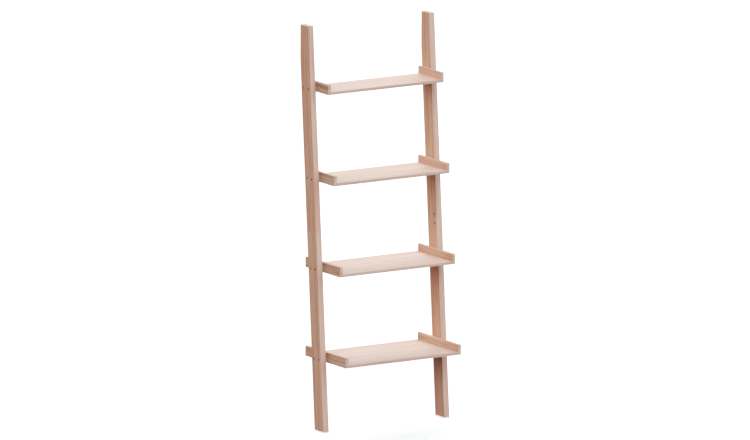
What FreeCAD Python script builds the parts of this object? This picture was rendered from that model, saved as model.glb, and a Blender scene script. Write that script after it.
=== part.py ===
import FreeCAD, Part
import math
import os

from FreeCAD import Vector

# Ladder shelf: two leaning rails carry four trays whose depth grows downward.
# Frame: origin on the floor at the middle of the bounding box, +X right, -Y front,
# +Z up. The wall plane is on the +Y side. Every size is in millimetres.

# ---------------------------------------------------------------- driving sizes

# whole ladder
OVERALL_HEIGHT = 1800.0
RAIL_GAP = 600.0                # clear distance between the two rails
FOOT_SETBACK = 124.0            # wall plane to the back edge of a rail's foot
WALL_CUT = 12.2                 # level depth that the wall plane takes off a rail's top

# rails
RAIL_THICKNESS = 28.0
RAIL_DEPTH = 77.2               # level cut through a rail, front to back
RAIL_EDGE_RADIUS = 2.0
RAIL_JOINT_RISE = 174.0         # lower tray's underside to the joint of the rail's halves

# trays
TRAY_NAMES = ("bottom", "lower", "upper", "top")
FIRST_TRAY_HEIGHT = 308.5       # floor to the underside of the bottom tray
LAST_TRAY_DROP = 291.5          # top of the rails to the underside of the top tray
BOTTOM_TRAY_DEPTH = 340.0
TRAY_DEPTH_STEP = 50.0          # each tray is this much shallower than the one below
PANEL_THICKNESS = 13.0
SIDE_THICKNESS = 15.0
SIDE_HEIGHT = 46.0
BOARD_EDGE_RADIUS = 1.5

# countersunk socket bolts that hold each tray to the rails
BOLT_DIAMETER = 6.0
BOLT_RISE = 11.0                # tray underside to bolt axis
BOLT_TIP_STOP = 1.6             # the bolt's tip stays this short of the insert's end
BOLT_HEAD_DIAMETER = 12.0
BOLT_HEAD_RIM = 0.4
BOLT_HEAD_SINK = 0.4            # how far the head lies below the rail's face
BOLT_TIP_CHAMFER = 0.8
HEX_SOCKET_WIDTH = 4.0
HEX_SOCKET_DEPTH = 2.6
INSERT_DIAMETER = 9.0
INSERT_WALL = 3.0               # side board's thickness less the insert's length

# wooden dowels between a panel and its side boards
TRAY_DOWEL_DIAMETER = 6.0
TRAY_DOWEL_WALL = 6.0           # side board's thickness less the dowel's part in it
TRAY_DOWEL_IN_PANEL = 20.0
TRAY_DOWEL_MARGIN = 30.0        # front edge of the tray to the first dowel

# joint between lower and upper rail
CAM_DIAMETER = 12.0
CAM_HEIGHT = 12.5
CAM_REACH = 19.5                # joint face to cam axis
CAM_DRIVE_WIDTH = 1.6
CAM_DRIVE_LENGTH = 7.0
CAM_DRIVE_DEPTH = 2.0
CAM_BOLT_DEPTH = 8.5            # rail's inner face to the cam bolt's axis
CAM_BOLT_DIAMETER = 6.0
CAM_NECK_DIAMETER = 4.0
CAM_BALL_DIAMETER = 6.0
CAM_NECK_LENGTH = 6.5
RAIL_DOWEL_DIAMETER = 8.0
RAIL_DOWEL_LENGTH = 40.0

# angle brackets that tie the top tray to the wall
BRACKET_THICKNESS = 2.0
BRACKET_WIDTH = 20.0
BRACKET_LEG_ON_WALL = 28.0
BRACKET_LEG_ON_PANEL = 40.0
BRACKET_INSET = 28            # side board's inner face to the bracket's middle
BRACKET_CORNER_RADIUS = 4.0
WALL_HOLE_DIAMETER = 5.5
WALL_HOLE_DROP = 18.0           # panel's underside to the wall hole's axis
BRACKET_SCREW_DIAMETER = 3.5
BRACKET_SCREW_WALL = 3.0        # panel's thickness less the screw's part in it
BRACKET_SCREW_HEAD_DIAMETER = 7.0
BRACKET_SCREW_HEAD_HEIGHT = 2.2
BRACKET_SCREW_OFFSETS = (14.0, 31.0)    # wall plane to each screw's axis
BRACKET_SCREW_DRIVE_WIDTH = 1.0
BRACKET_SCREW_DRIVE_DEPTH = 1.2

# clearances
BOLT_HOLE_CLEARANCE = 0.3       # radial, bolt shank in the rail
SEAT_CLEARANCE = 0.05           # radial, countersunk head in its seat
THREAD_CLEARANCE = 0.05         # radial, thread in its nut or in wood
GLUE_GAP = 0.05                 # radial, dowels and pressed-in sleeves in wood
END_GAP = 0.5                   # past the end of anything in a blind hole
CAM_CLEARANCE = 0.1             # radial, cam in its pocket
CAM_BOLT_CLEARANCE = 0.4        # radial, cam bolt in its bores
BRACKET_HOLE_CLEARANCE = 0.2    # radial, screw shank in the bracket

# ---------------------------------------------------------------- derived sizes

WALL_Y = BOTTOM_TRAY_DEPTH / 2
SLOPE = (FOOT_SETBACK + WALL_CUT) / OVERALL_HEIGHT
LEAN = math.atan(SLOPE)
RAIL_WIDTH = RAIL_DEPTH * math.cos(LEAN)        # measured square to the rail's length
CONTACT_HEIGHT = FOOT_SETBACK / SLOPE           # where the back of a rail meets the wall
ALONG = Vector(0, math.sin(LEAN), math.cos(LEAN))
ACROSS = Vector(0, math.cos(LEAN), -math.sin(LEAN))
INNER_FACE_X = RAIL_GAP / 2
OUTER_FACE_X = INNER_FACE_X + RAIL_THICKNESS
PANEL_END_X = INNER_FACE_X - SIDE_THICKNESS
TRAY_COUNT = len(TRAY_NAMES)
TRAY_SPACING = (OVERALL_HEIGHT - FIRST_TRAY_HEIGHT - LAST_TRAY_DROP) / (TRAY_COUNT - 1)
RAIL_JOINT_HEIGHT = FIRST_TRAY_HEIGHT + TRAY_SPACING + RAIL_JOINT_RISE
INSERT_LENGTH = SIDE_THICKNESS - INSERT_WALL
BOLT_LENGTH = RAIL_THICKNESS - BOLT_HEAD_SINK + INSERT_LENGTH - BOLT_TIP_STOP
TRAY_DOWEL_IN_SIDE = SIDE_THICKNESS - TRAY_DOWEL_WALL
BRACKET_SCREW_LENGTH = BRACKET_THICKNESS + PANEL_THICKNESS - BRACKET_SCREW_WALL
SIDES = (("left", -1), ("right", 1))


def tray_bottom(index):
    """Height of a tray's underside."""
    return FIRST_TRAY_HEIGHT + index * TRAY_SPACING


def tray_front(index):
    """Y of a tray's front edge; every tray's back edge is in the wall plane."""
    return WALL_Y - BOTTOM_TRAY_DEPTH + index * TRAY_DEPTH_STEP


def rail_back(height):
    """Y of the back edge of a rail, before its top is cut in the wall plane."""
    return WALL_Y - FOOT_SETBACK + SLOPE * height


def bolt_positions(index):
    """Y of the front and rear bolt of a tray, at a quarter and three quarters."""
    back = rail_back(tray_bottom(index) + BOLT_RISE)
    return (back - 0.75 * RAIL_DEPTH, back - 0.25 * RAIL_DEPTH)


def dowel_positions(index):
    """Y of the three dowels in each end of a panel, clear of the bolts."""
    front_bolt, rear_bolt = bolt_positions(index)
    front = tray_front(index) + TRAY_DOWEL_MARGIN
    return (front, (front_bolt + rear_bolt) / 2, (rear_bolt + WALL_Y) / 2)


# ---------------------------------------------------------------- shape helpers

def prism(points, direction):
    """Solid made by pushing a closed outline along a direction."""
    outline = Part.makePolygon(points + [points[0]])
    return Part.Face(outline).extrude(direction)


def block(x0, x1, y0, y1, z0, z1):
    """Box between two corners."""
    return Part.makeBox(x1 - x0, y1 - y0, z1 - z0, Vector(x0, y0, z0))


def rod(start, end, radius):
    """Cylinder from one point to another."""
    axis = end - start
    return Part.makeCylinder(radius, axis.Length, start, axis)


def turned(profile, start, axis):
    """Solid of revolution from (distance along the axis, radius) pairs."""
    points = [Vector(radius, 0, distance) for distance, radius in profile]
    face = Part.Face(Part.makePolygon(points + [points[0]]))
    solid = face.revolve(Vector(0, 0, 0), Vector(0, 0, 1), 360)
    solid.Placement = FreeCAD.Placement(start, FreeCAD.Rotation(Vector(0, 0, 1), axis))
    return solid


def eased(solid, radius, keep_sharp=None):
    """Round every edge over, apart from those that keep_sharp accepts."""
    edges = [e for e in solid.Edges if keep_sharp is None or not keep_sharp(e)]
    return solid.makeFillet(radius, edges)


def save(name, solids):
    """Write one sub-part, a single solid or a group of separate ones."""
    shape = solids[0] if len(solids) == 1 else Part.makeCompound(solids)
    bad = [s for s in solids if not s.isValid() or len(s.Solids) != 1]
    if bad:
        raise ValueError("%s holds a faulty solid" % name)
    shape.exportStep("parts/%s.step" % name)


# ---------------------------------------------------------------- rails

def rail_spot(height, across):
    """Point on a rail's middle plane: up its centreline, then square across it."""
    centre = Vector(0, rail_back(height) - RAIL_DEPTH / 2, height)
    return centre + ACROSS * across


def joint_spot(up, across, x):
    """Point given from the middle of the rail joint, at a chosen X."""
    point = rail_spot(RAIL_JOINT_HEIGHT, across) + ALONG * up
    return Vector(x, point.y, point.z)


def rail_outline(upper):
    """Side outline of the lower or the upper half of a rail."""
    joint_back = rail_spot(RAIL_JOINT_HEIGHT, RAIL_WIDTH / 2)
    joint_front = rail_spot(RAIL_JOINT_HEIGHT, -RAIL_WIDTH / 2)
    if not upper:
        foot_back = Vector(0, rail_back(0), 0)
        foot_front = Vector(0, rail_back(0) - RAIL_DEPTH, 0)
        return [foot_front, foot_back, joint_back, joint_front]
    contact = Vector(0, WALL_Y, CONTACT_HEIGHT)
    top_back = Vector(0, WALL_Y, OVERALL_HEIGHT)
    top_front = Vector(0, rail_back(OVERALL_HEIGHT) - RAIL_DEPTH, OVERALL_HEIGHT)
    return [joint_front, joint_back, contact, top_back, top_front]


def on_joint_face(edge):
    """True for an edge that lies in the rail joint's plane."""
    origin = rail_spot(RAIL_JOINT_HEIGHT, 0)
    ends = (edge.Vertexes[0].Point, edge.Vertexes[-1].Point)
    return all(abs((p - origin).dot(ALONG)) < 0.01 for p in ends)


def bolt_hole(index, y, side):
    """Clearance hole and countersink for one tray bolt through a rail."""
    start = Vector(side * OUTER_FACE_X, y, tray_bottom(index) + BOLT_RISE)
    shank = BOLT_DIAMETER / 2 + BOLT_HOLE_CLEARANCE
    seat = BOLT_HEAD_DIAMETER / 2 + SEAT_CLEARANCE
    flat = BOLT_HEAD_SINK + BOLT_HEAD_RIM
    profile = [(-1, 0), (-1, seat), (flat, seat), (flat + seat - shank, shank),
               (RAIL_THICKNESS + 1, shank), (RAIL_THICKNESS + 1, 0)]
    return turned(profile, start, Vector(-side, 0, 0))


def rail_joint_cuts(side, up):
    """Cam pocket, cam bolt bore and dowel bore in one half of a rail joint."""
    face = side * INNER_FACE_X
    axis_x = face + side * CAM_BOLT_DEPTH
    middle_x = face + side * RAIL_THICKNESS / 2
    front, back = -RAIL_WIDTH / 4, RAIL_WIDTH / 4
    pocket_floor = face + side * (CAM_HEIGHT + END_GAP)
    dowel_end = up * (RAIL_DOWEL_LENGTH / 2 + END_GAP)
    cam_reach = up * CAM_REACH
    return [
        rod(joint_spot(cam_reach, front, face - side), joint_spot(cam_reach, front, pocket_floor),
            CAM_DIAMETER / 2 + CAM_CLEARANCE),
        rod(joint_spot(-up, front, axis_x), joint_spot(cam_reach, front, axis_x),
            CAM_BOLT_DIAMETER / 2 + CAM_BOLT_CLEARANCE),
        rod(joint_spot(-up, back, middle_x), joint_spot(dowel_end, back, middle_x),
            RAIL_DOWEL_DIAMETER / 2 + GLUE_GAP),
    ]


def rail(side, upper):
    """Lower or upper half of one rail, with all of its holes."""
    left_x = INNER_FACE_X if side > 0 else -OUTER_FACE_X
    outline = [p + Vector(left_x, 0, 0) for p in rail_outline(upper)]
    body = eased(prism(outline, Vector(RAIL_THICKNESS, 0, 0)), RAIL_EDGE_RADIUS, on_joint_face)
    cuts = rail_joint_cuts(side, 1 if upper else -1)
    for index in range(TRAY_COUNT):
        is_above = tray_bottom(index) + BOLT_RISE > RAIL_JOINT_HEIGHT
        if is_above == upper:
            cuts += [bolt_hole(index, y, side) for y in bolt_positions(index)]
    return body.cut(cuts)


# ---------------------------------------------------------------- trays

def tray_dowel(index, y, side):
    """One dowel between a panel and a side board."""
    z = tray_bottom(index) + PANEL_THICKNESS / 2
    outer = Vector(side * (PANEL_END_X + TRAY_DOWEL_IN_SIDE), y, z)
    inner = Vector(side * (PANEL_END_X - TRAY_DOWEL_IN_PANEL), y, z)
    return rod(outer, inner, TRAY_DOWEL_DIAMETER / 2)


def tray_dowel_hole(index, y, side):
    """Hole for one such dowel, cut in both boards at once."""
    z = tray_bottom(index) + PANEL_THICKNESS / 2
    outer = Vector(side * (PANEL_END_X + TRAY_DOWEL_IN_SIDE + END_GAP), y, z)
    inner = Vector(side * (PANEL_END_X - TRAY_DOWEL_IN_PANEL - END_GAP), y, z)
    return rod(outer, inner, TRAY_DOWEL_DIAMETER / 2 + GLUE_GAP)


def is_panel_end(edge):
    """True for an edge that butts against a side board."""
    return abs(edge.tangentAt(edge.FirstParameter).x) < 0.5


def panel(index):
    """Shelf panel of one tray, level with the underside of its side boards."""
    bottom = tray_bottom(index)
    body = block(-PANEL_END_X, PANEL_END_X, tray_front(index), WALL_Y,
                 bottom, bottom + PANEL_THICKNESS)
    body = eased(body, BOARD_EDGE_RADIUS, is_panel_end)
    cuts = [tray_dowel_hole(index, y, side) for y in dowel_positions(index) for _, side in SIDES]
    if index == TRAY_COUNT - 1:
        cuts += [bracket_pilot_hole(side, offset)
                 for _, side in SIDES for offset in BRACKET_SCREW_OFFSETS]
    return body.cut(cuts)


def side_board(index, side):
    """Board that closes one end of a tray and stands above its panel."""
    bottom = tray_bottom(index)
    x0 = -INNER_FACE_X if side < 0 else PANEL_END_X
    body = block(x0, x0 + SIDE_THICKNESS, tray_front(index), WALL_Y, bottom, bottom + SIDE_HEIGHT)
    body = eased(body, BOARD_EDGE_RADIUS)
    cuts = [tray_dowel_hole(index, y, side) for y in dowel_positions(index)]
    for y in bolt_positions(index):
        mouth = Vector(side * (INNER_FACE_X + 1), y, bottom + BOLT_RISE)
        floor = Vector(side * (INNER_FACE_X - INSERT_LENGTH - END_GAP), y, bottom + BOLT_RISE)
        cuts.append(rod(mouth, floor, INSERT_DIAMETER / 2 + GLUE_GAP))
    return body.cut(cuts)


# ---------------------------------------------------------------- hardware

def hex_prism(centre, axis, width, depth):
    """Six-sided prism, for a socket drive."""
    corners = [Vector(math.cos(math.radians(60 * i)), math.sin(math.radians(60 * i)), 0)
               for i in range(6)]
    points = [c * (width / math.sqrt(3)) for c in corners]
    solid = prism(points, Vector(0, 0, depth))
    solid.Placement = FreeCAD.Placement(centre, FreeCAD.Rotation(Vector(0, 0, 1), axis))
    return solid


def tray_bolt(index, y, side):
    """Countersunk socket bolt through a rail into an insert nut."""
    top = Vector(side * (OUTER_FACE_X - BOLT_HEAD_SINK), y, tray_bottom(index) + BOLT_RISE)
    inward = Vector(-side, 0, 0)
    head = BOLT_HEAD_DIAMETER / 2
    shank = BOLT_DIAMETER / 2
    profile = [(0, 0), (0, head), (BOLT_HEAD_RIM, head), (BOLT_HEAD_RIM + head - shank, shank),
               (BOLT_LENGTH - BOLT_TIP_CHAMFER, shank),
               (BOLT_LENGTH, shank - BOLT_TIP_CHAMFER), (BOLT_LENGTH, 0)]
    bolt = turned(profile, top, inward)
    return bolt.cut(hex_prism(top, inward, HEX_SOCKET_WIDTH, HEX_SOCKET_DEPTH))


def insert_nut(index, y, side):
    """Threaded sleeve set in a side board, level with its outer face."""
    mouth = Vector(side * INNER_FACE_X, y, tray_bottom(index) + BOLT_RISE)
    end = mouth - Vector(side * INSERT_LENGTH, 0, 0)
    bore = rod(mouth, end, BOLT_DIAMETER / 2 + THREAD_CLEARANCE)
    return rod(mouth, end, INSERT_DIAMETER / 2).cut(bore)


def cam(side, up):
    """Cam lock: ball socket inside, neck slot to the joint, entry mouth, cross drive."""
    face_x = side * INNER_FACE_X
    axis_x = face_x + side * CAM_BOLT_DEPTH
    reach = up * CAM_REACH
    across = -RAIL_WIDTH / 4
    centre = joint_spot(reach, across, axis_x)
    body = rod(joint_spot(reach, across, face_x),
               joint_spot(reach, across, face_x + side * CAM_HEIGHT), CAM_DIAMETER / 2)
    neck = CAM_NECK_DIAMETER / 2 + CAM_BOLT_CLEARANCE
    ball = CAM_BALL_DIAMETER / 2 + CAM_BOLT_CLEARANCE
    cuts = [
        Part.makeSphere(ball, centre),
        rod(centre, centre - ALONG * (up * CAM_DIAMETER), neck),
        rod(centre, centre + ACROSS * CAM_DIAMETER, ball),
    ]
    drive_end = face_x + side * CAM_DRIVE_DEPTH
    half_long, half_wide = CAM_DRIVE_LENGTH / 2, CAM_DRIVE_WIDTH / 2
    for long_way, short_way in ((ALONG, ACROSS), (ACROSS, ALONG)):
        middle = joint_spot(reach, across, face_x)
        corners = [middle + long_way * (i * half_long) + short_way * (j * half_wide)
                   for i, j in ((-1, -1), (1, -1), (1, 1), (-1, 1))]
        cuts.append(prism(corners, Vector(drive_end - face_x, 0, 0)))
    return body.cut(cuts)


def cam_bolt(side):
    """Double-ended bolt whose two ball heads sit in the cams of one rail."""
    axis_x = side * (INNER_FACE_X + CAM_BOLT_DEPTH)
    across = -RAIL_WIDTH / 4
    low = joint_spot(-CAM_REACH, across, axis_x)
    high = joint_spot(CAM_REACH, across, axis_x)
    shank = CAM_REACH - CAM_NECK_LENGTH
    pieces = [
        Part.makeSphere(CAM_BALL_DIAMETER / 2, low),
        Part.makeSphere(CAM_BALL_DIAMETER / 2, high),
        rod(joint_spot(-shank, across, axis_x), joint_spot(shank, across, axis_x),
            CAM_BOLT_DIAMETER / 2),
    ]
    return rod(low, high, CAM_NECK_DIAMETER / 2).fuse(pieces).removeSplitter()


def rail_dowel(side):
    """Dowel that keeps the two halves of a rail in line."""
    x = side * (INNER_FACE_X + RAIL_THICKNESS / 2)
    half = RAIL_DOWEL_LENGTH / 2
    return rod(joint_spot(-half, RAIL_WIDTH / 4, x), joint_spot(half, RAIL_WIDTH / 4, x),
               RAIL_DOWEL_DIAMETER / 2)


# ---------------------------------------------------------------- wall brackets

def bracket_x(side):
    """X of a bracket's middle."""
    return side * (PANEL_END_X - BRACKET_INSET)


def wall_bracket(side):
    """Bent angle under the top panel, with one wall hole and two screw holes."""
    under = tray_bottom(TRAY_COUNT - 1)
    half = BRACKET_WIDTH / 2
    middle = bracket_x(side)
    front = WALL_Y - BRACKET_LEG_ON_PANEL
    low = under - BRACKET_LEG_ON_WALL
    inner = BRACKET_THICKNESS
    outline = [Vector(middle - half, y, z) for y, z in (
        (front, under), (WALL_Y, under), (WALL_Y, low), (WALL_Y - inner, low),
        (WALL_Y - inner, under - inner), (front, under - inner))]
    body = prism(outline, Vector(BRACKET_WIDTH, 0, 0))
    body = body.makeFillet(BRACKET_THICKNESS * 0.9, [e for e in body.Edges if is_bend(e, under)])
    corners = [e for e in body.Edges if is_leg_corner(e, front, low)]
    body = body.makeFillet(BRACKET_CORNER_RADIUS, corners)
    hole_z = under - WALL_HOLE_DROP
    cuts = [rod(Vector(middle, WALL_Y + 1, hole_z), Vector(middle, WALL_Y - inner - 1, hole_z),
                WALL_HOLE_DIAMETER / 2)]
    for offset in BRACKET_SCREW_OFFSETS:
        y = WALL_Y - offset
        cuts.append(rod(Vector(middle, y, under + 1), Vector(middle, y, under - inner - 1),
                        BRACKET_SCREW_DIAMETER / 2 + BRACKET_HOLE_CLEARANCE))
    return body.cut(cuts)


def is_bend(edge, under):
    """True for the two long edges at the bracket's bend."""
    point = edge.CenterOfMass
    along_x = abs(edge.tangentAt(edge.FirstParameter).x) > 0.9
    near_wall = point.y > WALL_Y - BRACKET_THICKNESS - 0.01
    near_panel = point.z > under - BRACKET_THICKNESS - 0.01
    return along_x and near_wall and near_panel and abs(point.y - WALL_Y + under - point.z) < 0.01


def is_leg_corner(edge, front, low):
    """True for the short edges at the free corners of both legs."""
    point = edge.CenterOfMass
    short = edge.Length < BRACKET_THICKNESS + 0.01
    return short and (abs(point.y - front) < 0.01 or abs(point.z - low) < 0.01)


def bracket_screw_start(side, offset):
    """Middle of a bracket screw's bearing face, on the bracket's underside."""
    under = tray_bottom(TRAY_COUNT - 1) - BRACKET_THICKNESS
    return Vector(bracket_x(side), WALL_Y - offset, under)


def bracket_pilot_hole(side, offset):
    """Hole that a bracket screw threads into, in the top panel."""
    start = bracket_screw_start(side, offset)
    up = Vector(0, 0, BRACKET_SCREW_LENGTH + END_GAP)
    return rod(start, start + up, BRACKET_SCREW_DIAMETER / 2 + THREAD_CLEARANCE)


def bracket_screw(side, offset):
    """Round-headed wood screw with a cross drive and a pointed tip."""
    start = bracket_screw_start(side, offset)
    shank = BRACKET_SCREW_DIAMETER / 2
    head = BRACKET_SCREW_HEAD_DIAMETER / 2
    height = BRACKET_SCREW_HEAD_HEIGHT
    crown = height / 2
    profile = [(-height, 0), (-height, head - crown), (-height + crown, head), (0, head),
               (0, shank), (BRACKET_SCREW_LENGTH - shank, shank), (BRACKET_SCREW_LENGTH, 0)]
    screw = turned(profile, start, Vector(0, 0, 1))
    half_long, half_wide = head / 2, BRACKET_SCREW_DRIVE_WIDTH / 2
    top = start.z - height
    cuts = []
    for dx, dy in ((half_long, half_wide), (half_wide, half_long)):
        cuts.append(block(start.x - dx, start.x + dx, start.y - dy, start.y + dy,
                          top, top + BRACKET_SCREW_DRIVE_DEPTH))
    return screw.cut(cuts)


# ---------------------------------------------------------------- assembly

def build_rails():
    """Both rails, each of two halves, and what joins them."""
    for name, side in SIDES:
        save("%s_rail_lower" % name, [rail(side, False)])
        save("%s_rail_upper" % name, [rail(side, True)])
        save("%s_rail_cam_locks" % name, [cam(side, -1), cam(side, 1)])
        save("%s_rail_cam_bolt" % name, [cam_bolt(side)])
        save("%s_rail_dowel" % name, [rail_dowel(side)])


def build_tray(index, tray):
    """One tray with its dowels, bolts and insert nuts."""
    save("%s_shelf_panel" % tray, [panel(index)])
    save("%s_shelf_dowels" % tray,
         [tray_dowel(index, y, side) for _, side in SIDES for y in dowel_positions(index)])
    for name, side in SIDES:
        save("%s_shelf_%s_side" % (tray, name), [side_board(index, side)])
        save("%s_shelf_%s_bolts" % (tray, name),
             [tray_bolt(index, y, side) for y in bolt_positions(index)])
        save("%s_shelf_%s_insert_nuts" % (tray, name),
             [insert_nut(index, y, side) for y in bolt_positions(index)])


def build_brackets():
    """Wall brackets under the top tray and their screws."""
    for name, side in SIDES:
        save("%s_wall_bracket" % name, [wall_bracket(side)])
        save("%s_wall_bracket_screws" % name,
             [bracket_screw(side, offset) for offset in BRACKET_SCREW_OFFSETS])


os.makedirs("parts", exist_ok=True)
build_rails()
for tray_index, tray_name in enumerate(TRAY_NAMES):
    build_tray(tray_index, tray_name)
build_brackets()
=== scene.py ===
"""Ladder shelf of bare pale wood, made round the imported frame. Metres, +Z up, -Y to the front."""

import logging
import math
import random
from dataclasses import dataclass, field
from enum import Enum
from typing import Callable, Sequence, Union

import bmesh
import bpy
from mathutils import Matrix, Vector


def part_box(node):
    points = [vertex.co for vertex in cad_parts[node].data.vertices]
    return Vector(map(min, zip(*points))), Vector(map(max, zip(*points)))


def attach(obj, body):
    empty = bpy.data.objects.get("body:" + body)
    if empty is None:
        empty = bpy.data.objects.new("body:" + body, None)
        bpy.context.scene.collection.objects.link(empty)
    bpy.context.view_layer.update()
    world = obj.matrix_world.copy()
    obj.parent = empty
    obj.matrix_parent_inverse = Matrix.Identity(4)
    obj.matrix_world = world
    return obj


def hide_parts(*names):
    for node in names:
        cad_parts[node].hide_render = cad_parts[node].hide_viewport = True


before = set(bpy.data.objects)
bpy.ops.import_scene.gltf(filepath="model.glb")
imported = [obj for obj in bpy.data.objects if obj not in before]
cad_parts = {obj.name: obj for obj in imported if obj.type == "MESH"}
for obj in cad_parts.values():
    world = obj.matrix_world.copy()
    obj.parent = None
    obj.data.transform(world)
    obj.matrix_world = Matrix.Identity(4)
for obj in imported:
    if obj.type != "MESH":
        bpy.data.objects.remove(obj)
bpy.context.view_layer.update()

LOG = logging.getLogger("ladder_shelf")
ROOT = "root"
TRAYS = ("bottom", "lower", "upper", "top")
TRAY_SEED = 100
RAIL_SEED = 900
RAIL_SEED_STEP = 20

Colour = tuple[float, float, float]
Limits = tuple[float, float]
Outline = Sequence[tuple[float, float]]
Term = Union["Wire", float]

WHITE = (1.0, 1.0, 1.0, 1.0)

ALONG_X = Vector((1, 0, 0))
ALONG_Y = Vector((0, 1, 0))
ALONG_Z = Vector((0, 0, 1))

OVERCUT = 0.0010            # how far a cutter stands out of the face that it enters
WELD_REACH = 1e-5           # points nearer than this become one
SAW_REACH = 1e-7            # points nearer than this to a saw's plane lie in it
PLANE_REACH = 1e-5          # an edge nearer than this to a plane lies in it
BORE_FACETS = 40
SEAT_FACETS = 48
TURNED_FACETS = 40
SCREW_FACETS = 32
EASED_STEPS = 4
EASED_ANGLE = 20.0          # edges that turn less than this, in degrees, aren't eased
SHARP_ANGLE = 30.0          # edges that turn more than this, in degrees, shade sharp


class Side(Enum):
    """The two ends of the shelf, each with the sign of its X."""

    LEFT = -1
    RIGHT = 1

    @property
    def word(self) -> str:
        """The side's name as the frame's nodes spell it."""
        return self.name.lower()


class Half(Enum):
    """The two halves that a rail is joined from."""

    LOWER = -1
    UPPER = 1

    @property
    def word(self) -> str:
        """The half's name as the frame's nodes spell it."""
        return self.name.lower()


# ------------------------------------------------------------------ shader maths


class Wire:
    """One output socket of a material, on which Python's operators become Math nodes."""

    def __init__(self, bench: "Bench", socket: bpy.types.NodeSocket) -> None:
        """Keeps the bench that the socket's node stands on, and the socket."""
        self.bench = bench
        self.socket = socket

    def math(self, operation: str, *terms: Term) -> "Wire":
        """Adds one Math node.

        Args:
            operation: the Math node's operation.
            *terms: its inputs in order, this wire not implied.

        Returns:
            The node's result.
        """
        return self.bench.node("ShaderNodeMath", {"operation": operation}, dict(enumerate(terms)))

    def __add__(self, other: Term) -> "Wire":
        """self + other."""
        return self.math("ADD", self, other)

    def __radd__(self, other: Term) -> "Wire":
        """other + self."""
        return self.math("ADD", other, self)

    def __sub__(self, other: Term) -> "Wire":
        """self - other."""
        return self.math("SUBTRACT", self, other)

    def __rsub__(self, other: Term) -> "Wire":
        """other - self."""
        return self.math("SUBTRACT", other, self)

    def __mul__(self, other: Term) -> "Wire":
        """self * other."""
        return self.math("MULTIPLY", self, other)

    def __rmul__(self, other: Term) -> "Wire":
        """other * self."""
        return self.math("MULTIPLY", other, self)

    def __truediv__(self, other: Term) -> "Wire":
        """self / other."""
        return self.math("DIVIDE", self, other)

    def __abs__(self) -> "Wire":
        """abs(self)."""
        return self.math("ABSOLUTE", self)

    def smallest(self, other: Term) -> "Wire":
        """The lesser of the two values."""
        return self.math("MINIMUM", self, other)

    def largest(self, other: Term) -> "Wire":
        """The greater of the two values."""
        return self.math("MAXIMUM", self, other)

    def floor(self) -> "Wire":
        """The whole number at or below the value."""
        return self.math("FLOOR", self)

    def fraction(self) -> "Wire":
        """What is left above the whole number."""
        return self.math("FRACT", self)

    def root(self) -> "Wire":
        """The square root."""
        return self.math("SQRT", self)

    def rise(self, low: float, high: float) -> "Wire":
        """A soft step.

        Args:
            low: the value up to which the step is 0.
            high: the value from which the step is 1.

        Returns:
            The step, from 0 to 1.
        """
        inputs = {"Value": self, "From Min": low, "From Max": high}
        return self.bench.node("ShaderNodeMapRange", {"interpolation_type": "SMOOTHSTEP"}, inputs)


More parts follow.
